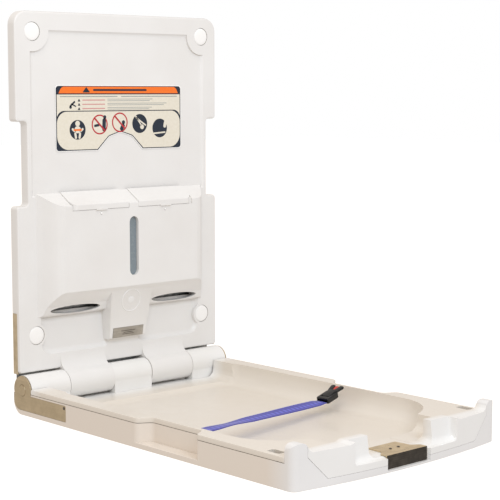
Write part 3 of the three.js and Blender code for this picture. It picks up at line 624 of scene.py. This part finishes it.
# ---------------------------------------------------------------- label
@dataclass
class Label:
    """Printed sheet in the wall unit's recess, with plain bars and round pictograms."""

    half: float = 176.0
    low: float = 500.5
    high: float = 644.5
    face: float = -22.85       # front of the bare sheet
    film: float = 0.12         # height of each printed layer
    arch_half: float = 62.0
    arch_top: float = 536.0
    thick: float = 0.95        # of the bare sheet
    border: float = 1.6        # white edge left round the dark ground
    margin: float = 3.6        # dark edge left round the panels
    panel_top: float = 586.8   # top of the panel with the pictograms
    text_foot: float = 576.0
    text_top: float = 624.0
    band_foot: float = 626.6
    band_top: float = 641.0
    disc_radius: float = 21.4
    ring_radius: float = 22.0
    ring_hole: float = 18.9

    def flat(self, outline: list[tuple[float, float, float]], layer: int, bm: bmesh.types.BMesh,
             thick: float | None = None) -> None:
        """Adds one flat shape with rounded corners to a bmesh.

        Args:
            outline: Corners as x, z and corner radius, in millimetres.
            layer: Which printed layer the front of the shape lies on.
            bm: The bmesh that takes it.
            thick: Thickness in millimetres, where it isn't one layer.
        """
        front = self.face - layer * self.film
        part = bmesh.new()
        corners = [part.verts.new((x * MM, front * MM, z * MM)) for x, z, _ in outline]
        part.faces.new(corners)
        for vert, (_, _, radius) in zip(corners, outline):
            if radius:
                before, after = (e.other_vert(vert).co - vert.co for e in vert.link_edges)
                reach = radius * MM / math.tan(before.angle(after) / 2)
                bmesh.ops.bevel(part, geom=[vert], offset=reach, offset_type="OFFSET", segments=10,
                                profile=0.5, affect="VERTICES", material=-1)
        self.thicken(part, thick or self.film, bm)

    def thicken(self, part: bmesh.types.BMesh, thick: float, bm: bmesh.types.BMesh) -> None:
        """Extrudes a flat shape back by thick millimetres and adds it to bm; part is freed."""
        grown = bmesh.ops.extrude_face_region(part, geom=part.faces[:])
        moved = [g for g in grown["geom"] if isinstance(g, bmesh.types.BMVert)]
        bmesh.ops.translate(part, verts=moved, vec=(0, thick * MM, 0))
        bmesh.ops.recalc_face_normals(part, faces=part.faces)
        absorb(bm, part)

    def disc(self, x: float, z: float, radius: float, layer: int, bm: bmesh.types.BMesh,
             hole: float = 0.0) -> None:
        """Adds a disc, or a ring where hole is set, at x and z, all in millimetres."""
        part = bmesh.new()
        bmesh.ops.create_circle(part, cap_ends=True, segments=40, radius=radius * MM)
        if hole:
            bmesh.ops.inset_individual(part, faces=part.faces[:], thickness=(radius - hole) * MM)
            inner = min(part.faces, key=lambda f: max(v.co.length for v in f.verts))
            bmesh.ops.delete(part, geom=[inner], context="FACES_ONLY")
        put(part, at_mm(x, self.face - layer * self.film, z) @ Matrix.Rotation(math.pi / 2, 4, "X"))
        self.thicken(part, self.film, bm)

    def bar(self, x: float, z: float, length: float, width: float, turn: float, layer: int,
            bm: bmesh.types.BMesh) -> None:
        """Adds a round-ended bar centred at x and z, turned by degrees, in millimetres."""
        c, s = math.cos(math.radians(turn)), math.sin(math.radians(turn))
        a, b, r = length / 2, width / 2, min(length, width) * 0.49
        corners = ((-a, -b), (a, -b), (a, b), (-a, b))
        self.flat([(x + c * u - s * v, z + s * u + c * v, r) for u, v in corners], layer, bm)

    def framed(self, inset: float, top: float, radius: float,
               top_radius: float) -> list[tuple[float, float, float]]:
        """Outline of the sheet set in by inset, up to top, with the arch cut from its foot.

        Args:
            inset: Distance in from the sheet's edge, in millimetres.
            top: Height of the outline's top edge.
            radius: Radius of the lower corners.
            top_radius: Radius of the upper corners.

        Returns:
            Corners as x, z and corner radius, in millimetres.
        """
        x, foot = self.half - inset, self.low + inset
        arch, peak = self.arch_half + inset * 0.7, self.arch_top + inset
        shoulder = arch * 0.52
        return [(-x, foot, radius), (-arch, foot, 0.0), (-shoulder, peak - 6, 16.0), (0.0, peak + 4, 26.0),
                (shoulder, peak - 6, 16.0), (arch, foot, 0.0), (x, foot, radius), (x, top, top_radius),
                (-x, top, top_radius)]

    def build(self, looks: Finishes) -> None:
        """Builds the sheet and the shapes printed on it.

        Args:
            looks: The finishes.
        """
        sheet = bmesh.new()
        self.flat(self.framed(0, self.high, 8, 8), 0, sheet, self.thick)
        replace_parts(make_piece(sheet, "label_sheet", looks.cap, Body.WALL), "label_plate")
        navy, film, orange = bmesh.new(), bmesh.new(), bmesh.new()
        red, pink, grey = bmesh.new(), bmesh.new(), bmesh.new()
        self.flat(self.framed(self.border, self.high - 2, 7, 7), 1, navy)
        # The lower panel, the upper one with its foot cut to the lower one's round corners, and the band.
        self.flat(self.framed(self.margin, self.panel_top, 30, 26), 2, film)
        x, foot, notch = self.half - self.margin - 0.2, self.text_foot, self.panel_top + 2
        self.flat([(-x, foot, 0), (-x, self.text_top, 0), (x, self.text_top, 0), (x, foot, 0),
                   (165, notch, 18), (-165, notch, 18)], 2, film)
        self.flat([(-167, self.band_foot, 0), (167, self.band_foot, 0), (160, self.band_top, 12),
                   (-160, self.band_top, 12)], 2, orange)
        self.rows(navy, pink, grey)
        self.pictograms(navy, film, red, orange)
        for bm, name, look in ((navy, "navy", looks.navy), (film, "film", looks.film),
                               (orange, "orange", looks.orange), (red, "red", looks.red),
                               (pink, "pale_red", looks.pink), (grey, "grey", looks.grey)):
            make_piece(bm, f"label_print_{name}", look, Body.WALL)

    def rows(self, navy: bmesh.types.BMesh, pink: bmesh.types.BMesh, grey: bmesh.types.BMesh) -> None:
        """Adds the plain bars and marks of the sheet's upper half.

        Args:
            navy: Takes the dark marks.
            pink: Takes the pale red bars.
            grey: Takes the grey bars.
        """
        # A line of bars across the top, and a dark bar and triangle on the orange band.
        for start, end in ((-164, -8), (2, 164)):
            self.bar((start + end) / 2, 619.6, end - start, 2.0, 0, 3, grey)
        self.bar(0, 633.8, 150, 4.4, 0, 3, navy)
        self.flat([(-104, 628.4, 1), (-83, 628.4, 1), (-93.5, 640.4, 1)], 3, navy)
        # Three rows, each with a small triangle, a pale red bar and two grey ones.
        for z, end in ((611.8, 92), (602.6, 133), (593.4, 90)):
            self.bar(-73.5, z, 62, 2.2, 0, 3, pink)
            self.flat([(-117, z - 3, 0.5), (-109.6, z - 3, 0.5), (-113.3, z + 3.4, 0.5)], 3, navy)
            self.bar((-36 + end) / 2, z + 1.8, end + 36, 1.3, 0, 3, grey)
            self.bar((-36 + end - 8) / 2, z - 1.8, end + 28, 1.3, 0, 3, grey)
        # A small tumbling figure.
        self.disc(-136, 596.5, 3.4, 3, navy)
        self.bar(-131, 603.5, 18, 4.2, 40, 3, navy)
        self.bar(-128, 601, 15, 2.8, -25, 3, navy)

    def pictograms(self, navy: bmesh.types.BMesh, film: bmesh.types.BMesh, red: bmesh.types.BMesh,
                   orange: bmesh.types.BMesh) -> None:
        """Adds the five round pictograms of the sheet's lower half.

        Args:
            navy: Takes the dark discs and figures.
            film: Takes the pale shapes on the dark discs.
            red: Takes the two struck-out rings.
            orange: Takes the belt.
        """
        for x, z in ((-118, 547.3), (54.5, 558.5), (112.5, 547.5)):
            self.disc(x, z, self.disc_radius, 3, navy)
        # A lying infant with a belt, on the first disc.
        self.disc(-118, 561, 6.2, 4, film)
        self.bar(-118, 547.5, 17, 15, 0, 4, film)
        for side in (-1, 1):
            self.bar(-118 + side * 10.5, 546.5, 12, 5, side * 38, 4, film)
            self.bar(-118 + side * 5.6, 534.5, 14, 5.4, 90 - side * 10, 4, film)
        self.bar(-118, 547, 22, 4.0, 0, 5, orange)
        # Two struck-out rings.
        for x, z in ((-58, 558), (-2, 562)):
            self.disc(x, z, self.ring_radius, 3, red, hole=self.ring_hole)
            self.bar(x, z, 40, 3.8, -45, 5, red)
        # Plain figures in the rings, under the slashes.
        self.disc(-44, 574, 4.2, 4, navy)
        self.bar(-46, 557, 29, 9.5, 88, 4, navy)
        self.bar(-66, 556, 15, 5.5, 8, 4, navy)
        self.disc(8, 562, 4.4, 4, navy)
        self.bar(5, 551, 17, 10, 60, 4, navy)
        # Belt and catch on the last two discs.
        self.bar(58, 563, 34, 3.4, -32, 4, film)
        self.bar(50, 566, 30, 3.0, -52, 4, film)
        self.disc(61, 551, 5.4, 4, film)
        self.bar(110, 536.6, 38, 3.4, 4, 4, film)
        self.bar(128, 556, 16, 8.0, 78, 4, film)


# ---------------------------------------------------------------- wall unit
@dataclass
class WallUnit:
    """The fixed half: moulding, bolt caps, lids, label, badge, name plate and side brackets."""

    cap_x: float = 235.0
    cap_heights: tuple[tuple[str, float], ...] = (("top", 757.0), ("bottom", 106.0))
    cap_seat: float = -20.6
    badge_z: float = 164.0
    badge_y: float = -55.8
    badge_radius: float = 27.0
    slope: float = 9.8          # of the centre block's face, in degrees
    plate_y: float = -44.0
    plate_z: float = 91.0
    rivet_x: float = 38.5
    catch: tuple[float, float, float] = (90.0, -69.0, 366.0)

    def build(self, frame: Frame, looks: Finishes) -> None:
        """Builds the whole wall unit.

        Args:
            frame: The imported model.
            looks: The finishes.
        """
        Moulding("wall_shell", Body.WALL, "wall_shell", 2.0, "wall_moulding").build(frame, looks.wall)
        for side in Side:
            Moulding(f"lid_{side.word}", side.lid, "wall_shell", 0.8).build(frame, looks.wall)
            bracket = Moulding(f"wall_bracket_{side.word}", Body.WALL, "hinge_steel", 0.4)
            bracket.build(frame, looks.wall_steel)
            self.catch_dot(side, looks)
            for level, z in self.cap_heights:
                self.bolt_cap(side, level, z, looks)
        Moulding("liner_window", Body.WALL, "window", 0.3).build(frame, looks.window)
        Moulding("name_plate", Body.WALL, "hinge_steel", 0.25).build(frame, looks.plate)
        self.plate_marks(looks)
        self.badge(looks)
        Label().build(looks)

    def bolt_cap(self, side: Side, level: str, z: float, looks: Finishes) -> None:
        """Builds one snap-in cap over a mounting bolt, with a softly domed face."""
        bm = spun([(0, 0), (18.4, 0), (19.3, -0.5), (19.7, -1.4), (19.7, -3.2), (19.3, -4.3), (18.2, -5.1),
                   (16, -5.6), (12, -5.95), (6, -6.15), (0, -6.2)], 64)
        put(bm, at_mm(side.value * self.cap_x, self.cap_seat, z))
        piece = make_piece(bm, f"cap_{level}_{side.word}", looks.cap, Body.WALL)
        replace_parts(piece, f"bolt_cap_{level}_{side.word}")

    def catch_dot(self, side: Side, looks: Finishes) -> None:
        """Builds the small domed catch under a lid's tab."""
        x, y, z = self.catch
        bm = spun([(0, 5), (2.9, 5), (3, 0), (2.9, -0.6), (2.3, -1.1), (1.2, -1.4), (0, -1.45)], 32)
        put(bm, at_mm(side.value * x, y, z))
        piece = make_piece(bm, f"catch_dot_{side.word}", looks.cap, Body.WALL)
        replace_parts(piece, f"lid_catch_{side.word}")

    def on_block(self, y: float, z: float) -> Matrix:
        """Place and slope of something that lies on the centre block's face."""
        return at_mm(0, y, z) @ Matrix.Rotation(math.radians(self.slope), 4, "X")

    def badge(self, looks: Finishes) -> None:
        """Builds the plain raised ring on the centre block, and the low dome inside it."""
        sections = ((-3.4, 0.4), (-3.0, -0.7), (-2.2, -1.2), (-0.9, -1.2), (-0.2, -0.7), (0.0, 0.4))
        ring = spun([(self.badge_radius + r, y) for r, y in sections], 72, ring=True)
        seat = self.on_block(self.badge_y, self.badge_z)
        make_piece(put(ring, seat), "badge_ring", looks.wall, Body.WALL)
        dome = spun([(0, 0.5), (9, 0.5), (9.4, -0.2), (8.2, -0.9), (4, -1.2), (0, -1.25)], 48)
        make_piece(put(dome, seat), "badge_dome", looks.wall, Body.WALL)

    def plate_marks(self, looks: Finishes) -> None:
        """Builds the plain dark bars and the two rivets on the name plate."""
        bars = bmesh.new()
        helper = Label(face=0.0)
        for z, length in ((3.2, 40), (-0.8, 26), (-4.6, 33)):
            helper.bar(0, z, length, 1.3, 0, 1, bars)
        put(bars, self.on_block(self.plate_y, self.plate_z))
        make_piece(bars, "name_plate_bars", looks.screw, Body.WALL)
        for side in Side:
            rivet = spun([(0, 0.4), (1.7, 0.4), (1.7, -0.2), (1.2, -0.6), (0, -0.75)], 24)
            put(rivet, self.on_block(self.plate_y + 0.1, self.plate_z)
                @ at_mm(side.value * self.rivet_x, 0, 0))
            make_piece(rivet, f"name_plate_rivet_{side.word}", looks.plate, Body.WALL)


# ---------------------------------------------------------------- bed and hinge
@dataclass
class Bed:
    """The folding half: tray, outer shell, handle plate and the steel at the hinge."""

    arm_rivet: tuple[float, float, float] = (279.7, -186.0, -21.5)
    screw: tuple[float, float, float] = (11.0, -848.0, -29.7)
    axis: tuple[float, float] = (-33.0, -7.0)
    pin_seat: float = 276.0
    worn_from: float = -0.7     # faces of the handle that look forwards more than this get the painted shade

    def build(self, frame: Frame, looks: Finishes) -> None:
        """Builds the bed and its hinge.

        Args:
            frame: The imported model.
            looks: The finishes.
        """
        tray = Moulding("bed_tray", Body.BED, "bed_shell", 3.0, "bed_moulding", parting_z=-12.0)
        tray.build(frame, looks.bed)
        shell = Moulding("bed_outer_shell", Body.BED, "bed_shell", 2.4, "bed_shell_moulding",
                         parting_z=-12.35)
        shell.build(frame, looks.bed_outside)
        plate = Moulding("handle_plate", Body.BED, "hinge_steel", 0.5).build(frame, looks.handle_steel)
        # Painted shade: faces that look forwards take the dark steel.
        plate.data.materials.append(looks.worn_steel)
        for face in plate.data.polygons:
            face.material_index = 1 if face.normal.y < self.worn_from else 0
        for side in Side:
            arm = Moulding(f"bed_hinge_plate_{side.word}", Body.BED, "hinge_steel", 0.5)
            arm.build(frame, looks.side_steel)
            self.pin_head(side, looks)
            self.rivet(side, looks)
            self.handle_screw(side, looks)

    def on_side(self, side: Side, x: float, y: float, z: float) -> Matrix:
        """Turns a shape spun round Y so that it points outwards at one side."""
        return at_mm(side.value * x, y, z) @ Matrix.Rotation(side.value * math.pi / 2, 4, "Z")

    def pin_head(self, side: Side, looks: Finishes) -> None:
        """Builds the riveted head of the hinge pin, with a dimple in the middle."""
        bm = spun([(0, 0), (12.2, 0), (12.2, -3.5), (11.8, -4.2), (10.8, -4.5), (3.4, -4.5), (2.4, -4.2),
                   (1.2, -3.8), (0, -3.7)], 64)
        y, z = self.axis
        put(bm, self.on_side(side, self.pin_seat, y, z))
        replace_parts(make_piece(bm, f"pin_head_{side.word}", looks.side_steel, Body.BED),
                    f"hinge_pin_head_{side.word}")

    def rivet(self, side: Side, looks: Finishes) -> None:
        """Builds the small rivet at the far end of a hinge arm."""
        bm = spun([(0, 1), (3.4, 1), (3.4, -0.2), (2.8, -0.7), (1.6, -1.0), (0, -1.1)], 32)
        put(bm, self.on_side(side, *self.arm_rivet))
        make_piece(bm, f"arm_rivet_{side.word}", looks.screw, Body.BED)

    def handle_screw(self, side: Side, looks: Finishes) -> None:
        """Builds one round-headed socket screw of the handle plate."""
        bm = spun([(0, 5), (1.6, 5), (1.6, 0), (3.0, 0), (3.0, -0.3), (2.7, -0.7), (2.0, -0.95),
                   (1.2, -1.0), (1.1, -0.4), (0, -0.4)], 32)
        x, y, z = self.screw
        put(bm, at_mm(side.value * x, y, z) @ Matrix.Rotation(-math.pi / 2, 4, "X"))
        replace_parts(make_piece(bm, f"socket_screw_{side.word}", looks.screw, Body.BED),
                    f"handle_screw_{side.word}")


# ---------------------------------------------------------------- strap
@dataclass
class Strap:
    """Flat webbing across the basin, with its anchor and buckle."""

    start: tuple[float, float, float] = (-247.4, -569.0, -8.0)
    end: tuple[float, float, float] = (163.0, -496.0, -22.0)
    buckle_end: tuple[float, float, float] = (236.0, -486.0, -5.0)
    lift: float = 6.0           # angle that the lever stands up by, in degrees
    pin: tuple[float, float, float] = (16.0, 0.0, 2.7)    # the lever's pin, from the tape's end
    width: float = 25.0
    thick: float = 1.6
    tuck: float = 3.0           # length of tape inside the buckle
    steps: tuple[int, int] = (110, 6)
    # Lean of the tape in degrees, at shares of its length.
    rolls: tuple[tuple[float, float], ...] = ((0.0, 4.0), (0.1, 5.0), (0.24, -3.0), (0.42, 9.0),
                                              (0.8, 15.0), (0.94, 13.0), (1.0, 3.0))

    def roll_at(self, t: float) -> float:
        """How far the tape leans towards the front, in degrees, at share t of its length."""
        for (t0, r0), (t1, r1) in zip(self.rolls, self.rolls[1:]):
            if t <= t1:
                u = (t - t0) / (t1 - t0)
                return r0 + (r1 - r0) * u * u * (3 - 2 * u)
        return self.rolls[-1][1]

    def build(self, frame: Frame, looks: Finishes) -> None:
        """Builds the webbing, anchor and buckle.

        Args:
            frame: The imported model.
            looks: The finishes.
        """
        self.webbing(looks)
        Moulding("strap_anchor", Body.BED, "nylon", 0.4).build(frame, looks.grey_nylon)
        Moulding("buckle_body", Body.BED, "buckle", 0.9).build(frame, looks.nylon)
        self.lever(looks)

    def on_lever(self) -> Matrix:
        """Place of the lever: along the buckle, lifted about its pin by the angle it rests at."""
        way = Vector(self.buckle_end) - Vector(self.end)
        yaw, pitch = math.atan2(way.y, way.x), math.atan2(way.z, math.hypot(way.x, way.y))
        pin = at_mm(*self.pin)
        return (at_mm(*self.end) @ Matrix.Rotation(yaw, 4, "Z") @ Matrix.Rotation(-pitch, 4, "Y")
                @ pin @ Matrix.Rotation(-math.radians(self.lift), 4, "Y") @ pin.inverted())

    def block(self, size: tuple[float, float, float], place: tuple[float, float, float], radius: float,
              turn: float, bm: bmesh.types.BMesh) -> None:
        """Adds a soft-edged block to a bmesh.

        Args:
            size: Length, width and height in millimetres.
            place: Its centre in millimetres.
            radius: Edge radius in millimetres.
            turn: Turn round the vertical, in degrees.
            bm: The bmesh that takes it.
        """
        part = bmesh.new()
        bmesh.ops.create_cube(part, size=1.0)
        put(part, Matrix.Diagonal((*(s * MM for s in size), 1.0)))
        upright = [e for e in part.edges if abs((e.verts[0].co - e.verts[1].co).z) > 0.5 * size[2] * MM]
        bmesh.ops.bevel(part, geom=upright, offset=min(size[:2]) * 0.42 * MM, offset_type="OFFSET",
                        segments=6, profile=0.5, affect="EDGES", material=-1)
        rims = [e for e in part.edges if e.calc_face_angle(0.0) > math.radians(60)]
        bmesh.ops.bevel(part, geom=rims, offset=radius * MM, offset_type="OFFSET", segments=3, profile=0.5,
                        affect="EDGES", material=-1)
        put(part, at_mm(*place) @ Matrix.Rotation(math.radians(turn), 4, "Z"))
        absorb(bm, part)

    def lever(self, looks: Finishes) -> None:
        """Builds the buckle's lever, with its two rounded wings, and the red cam between them."""
        # Sizes and places are in millimetres along, across and up from the tape's end.
        lever = bmesh.new()
        self.block((31, 21.0, 7.0), (30.5, 0, 3.2), 2.0, 0, lever)
        for side in Side:
            self.block((25, 11.6, 5.6), (53.5, side.value * 9.0, 3.1), 2.4, side.value * 13, lever)
        self.block((9, 21, 4.6), (44, 0, 3.2), 1.6, 0, lever)
        put(lever, self.on_lever())
        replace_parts(make_piece(lever, "buckle_wings", looks.nylon, Body.LEVER), "buckle_lever")
        cam = bmesh.new()
        self.block((27, 11.0, 6.6), (50.5, 0, 1.2), 1.6, 0, cam)
        put(cam, self.on_lever())
        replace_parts(make_piece(cam, "buckle_red_cam", looks.cam, Body.LEVER), "buckle_cam")

    def webbing(self, looks: Finishes) -> None:
        """Builds the tape from a grid that is laid along its line and leaned over part of its length."""
        start, end = Vector(self.start) * MM, Vector(self.end) * MM
        way = end - start
        length = way.length + self.tuck * MM
        along = way.normalized()
        across = Vector((0, 0, 1)).cross(along).normalized()
        up = along.cross(across)
        bm = bmesh.new()
        uv = bm.loops.layers.uv.new("UVMap")
        bmesh.ops.create_grid(bm, x_segments=self.steps[0], y_segments=self.steps[1], size=0.5)
        for face in bm.faces:
            for loop in face.loops:
                loop[uv].uv = ((loop.vert.co.x + 0.5) * length, (loop.vert.co.y + 0.5) * self.width * MM)
        for vert in bm.verts:
            t, v = vert.co.x + 0.5, vert.co.y * self.width * MM
            lean = math.radians(self.roll_at(t))
            side = across * math.cos(lean) + up * math.sin(lean)
            vert.co = start + along * (t * length) + side * v
        bmesh.ops.solidify(bm, geom=bm.faces[:], thickness=self.thick * MM)
        bmesh.ops.translate(bm, verts=bm.verts, vec=-up * (self.thick / 2 * MM))
        tape = make_piece(bm, "strap_tape", looks.webbing, Body.BED)
        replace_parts(tape, "strap_webbing")


# ---------------------------------------------------------------- carried-over pieces
def dress_hidden(frame: Frame, looks: Finishes) -> None:
    """Gives the CAD nodes that stay as they are their finishes.

    Args:
        frame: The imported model.
        looks: The finishes.
    """
    finishes = {"back_panel": looks.zinc, "hinge_shaft": looks.zinc, "hinge_damper": looks.grey_nylon}
    for side in Side:
        finishes[f"lid_pin_{side.word}"] = looks.zinc
        finishes[f"hinge_bush_{side.word}"] = looks.grey_nylon
        for level in ("top", "bottom"):
            finishes[f"wall_bolt_{level}_{side.word}"] = looks.zinc
    for name, material in finishes.items():
        node = frame["nodes"][name]
        node.data.materials.clear()
        node.data.materials.append(material)
        LOG.info("%s keeps its shape", name)


# ---------------------------------------------------------------- studio
@dataclass(frozen=True)
class Lamp:
    """One soft round light, in metres and watts."""

    name: str
    place: tuple[float, float, float]
    target: tuple[float, float, float]
    size: float
    power: float
    colour: str

    def build(self) -> None:
        """Adds the light, aimed at its target."""
        data = bpy.data.lights.new(self.name, "AREA")
        data.shape = "DISK"
        data.size, data.energy, data.color = self.size, self.power, linear(self.colour)[:3]
        lamp = bpy.data.objects.new(self.name, data)
        lamp.location = self.place
        way = Vector(self.target) - Vector(self.place)
        lamp.rotation_euler = way.to_track_quat("-Z", "Y").to_euler()
        bpy.context.scene.collection.objects.link(lamp)


@dataclass
class Studio:
    """Pale floor, soft lights and the camera."""

    eye: tuple[float, float, float] = (-1.9923, -2.6126, 0.6311)
    heading: float = 42.659
    pitch: float = 6.252
    lens: float = 104.35
    sensor: float = 36.0
    floor_z: float = -0.80
    floor_glow: float = 0.45
    sky_colour: str = "#FFF6EE"
    sky_glow: float = 0.74
    lamps: tuple[Lamp, ...] = (
        Lamp("key", (-0.7, -3.3, 2.3), (0, -0.2, 0.3), 1.5, 37.0, "#D6EAFF"),
        Lamp("gleam", (-1.5, -1.9, 1.9), (0, -0.4, 0.0), 0.35, 9.0, "#FFFFFF"),
        Lamp("top", (-0.5, -0.9, 2.6), (0, -0.4, 0.0), 1.4, 12.5, "#FFF8F0"))

    def build(self) -> None:
        """Builds the floor, the lights, the sky and the camera."""
        self.floor()
        self.sky()
        for lamp in self.lamps:
            lamp.build()
        self.camera()

    def camera(self) -> None:
        """Places the camera."""
        data = bpy.data.cameras.new("camera")
        data.sensor_width = self.sensor
        data.lens = self.lens
        camera = bpy.data.objects.new("camera", data)
        camera.location = self.eye
        h, p = math.radians(self.heading), math.radians(self.pitch)
        look = Vector((math.sin(h) * math.cos(p), math.cos(h) * math.cos(p), -math.sin(p)))
        camera.rotation_euler = look.to_track_quat("-Z", "Y").to_euler()
        bpy.context.scene.collection.objects.link(camera)
        bpy.context.scene.camera = camera

    def sky(self) -> None:
        """Makes the surroundings a warm soft white that reads as plain white behind the object."""
        world = bpy.data.worlds.new("surroundings")
        world.use_nodes = True
        tree = world.node_tree
        tree.nodes.clear()
        glow = add_node(tree, "ShaderNodeBackground", {"Color": linear(self.sky_colour),
                                                         "Strength": self.sky_glow})
        plain = add_node(tree, "ShaderNodeBackground", {"Color": (1, 1, 1, 1), "Strength": 1.0})
        seen = add_node(tree, "ShaderNodeLightPath").outputs["Is Camera Ray"]
        both = add_node(tree, "ShaderNodeMixShader", {0: seen, 1: glow.outputs[0], 2: plain.outputs[0]})
        add_node(tree, "ShaderNodeOutputWorld", {"Surface": both.outputs[0]})
        bpy.context.scene.world = world
        bpy.context.scene.view_settings.view_transform = "Standard"

    def floor(self) -> None:
        """Lays a floor that the camera sees and that casts no colour on the object."""
        bm = bmesh.new()
        bmesh.ops.create_grid(bm, x_segments=1, y_segments=1, size=30.0)
        bmesh.ops.translate(bm, verts=bm.verts, vec=(0, 0, self.floor_z))
        mesh = bpy.data.meshes.new("floor")
        bm.to_mesh(mesh)
        bm.free()
        material, _, shader, _ = Finish("matt_white_paint", "#FAFAFA", 0.9).start()
        shader.inputs["Emission Color"].default_value = (1, 1, 1, 1)
        shader.inputs["Emission Strength"].default_value = self.floor_glow
        mesh.materials.append(material)
        floor = bpy.data.objects.new("floor", mesh)
        floor.visible_diffuse = False
        floor.visible_glossy = False
        bpy.context.scene.collection.objects.link(floor)


def main() -> None:
    """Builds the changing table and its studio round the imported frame."""
    logging.basicConfig(level=logging.INFO, format="%(name)s: %(message)s")
    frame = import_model()
    looks = Finishes()
    Studio().build()
    WallUnit().build(frame, looks)
    Bed().build(frame, looks)
    Strap().build(frame, looks)
    dress_hidden(frame, looks)


if __name__ == "__main__":
    main()
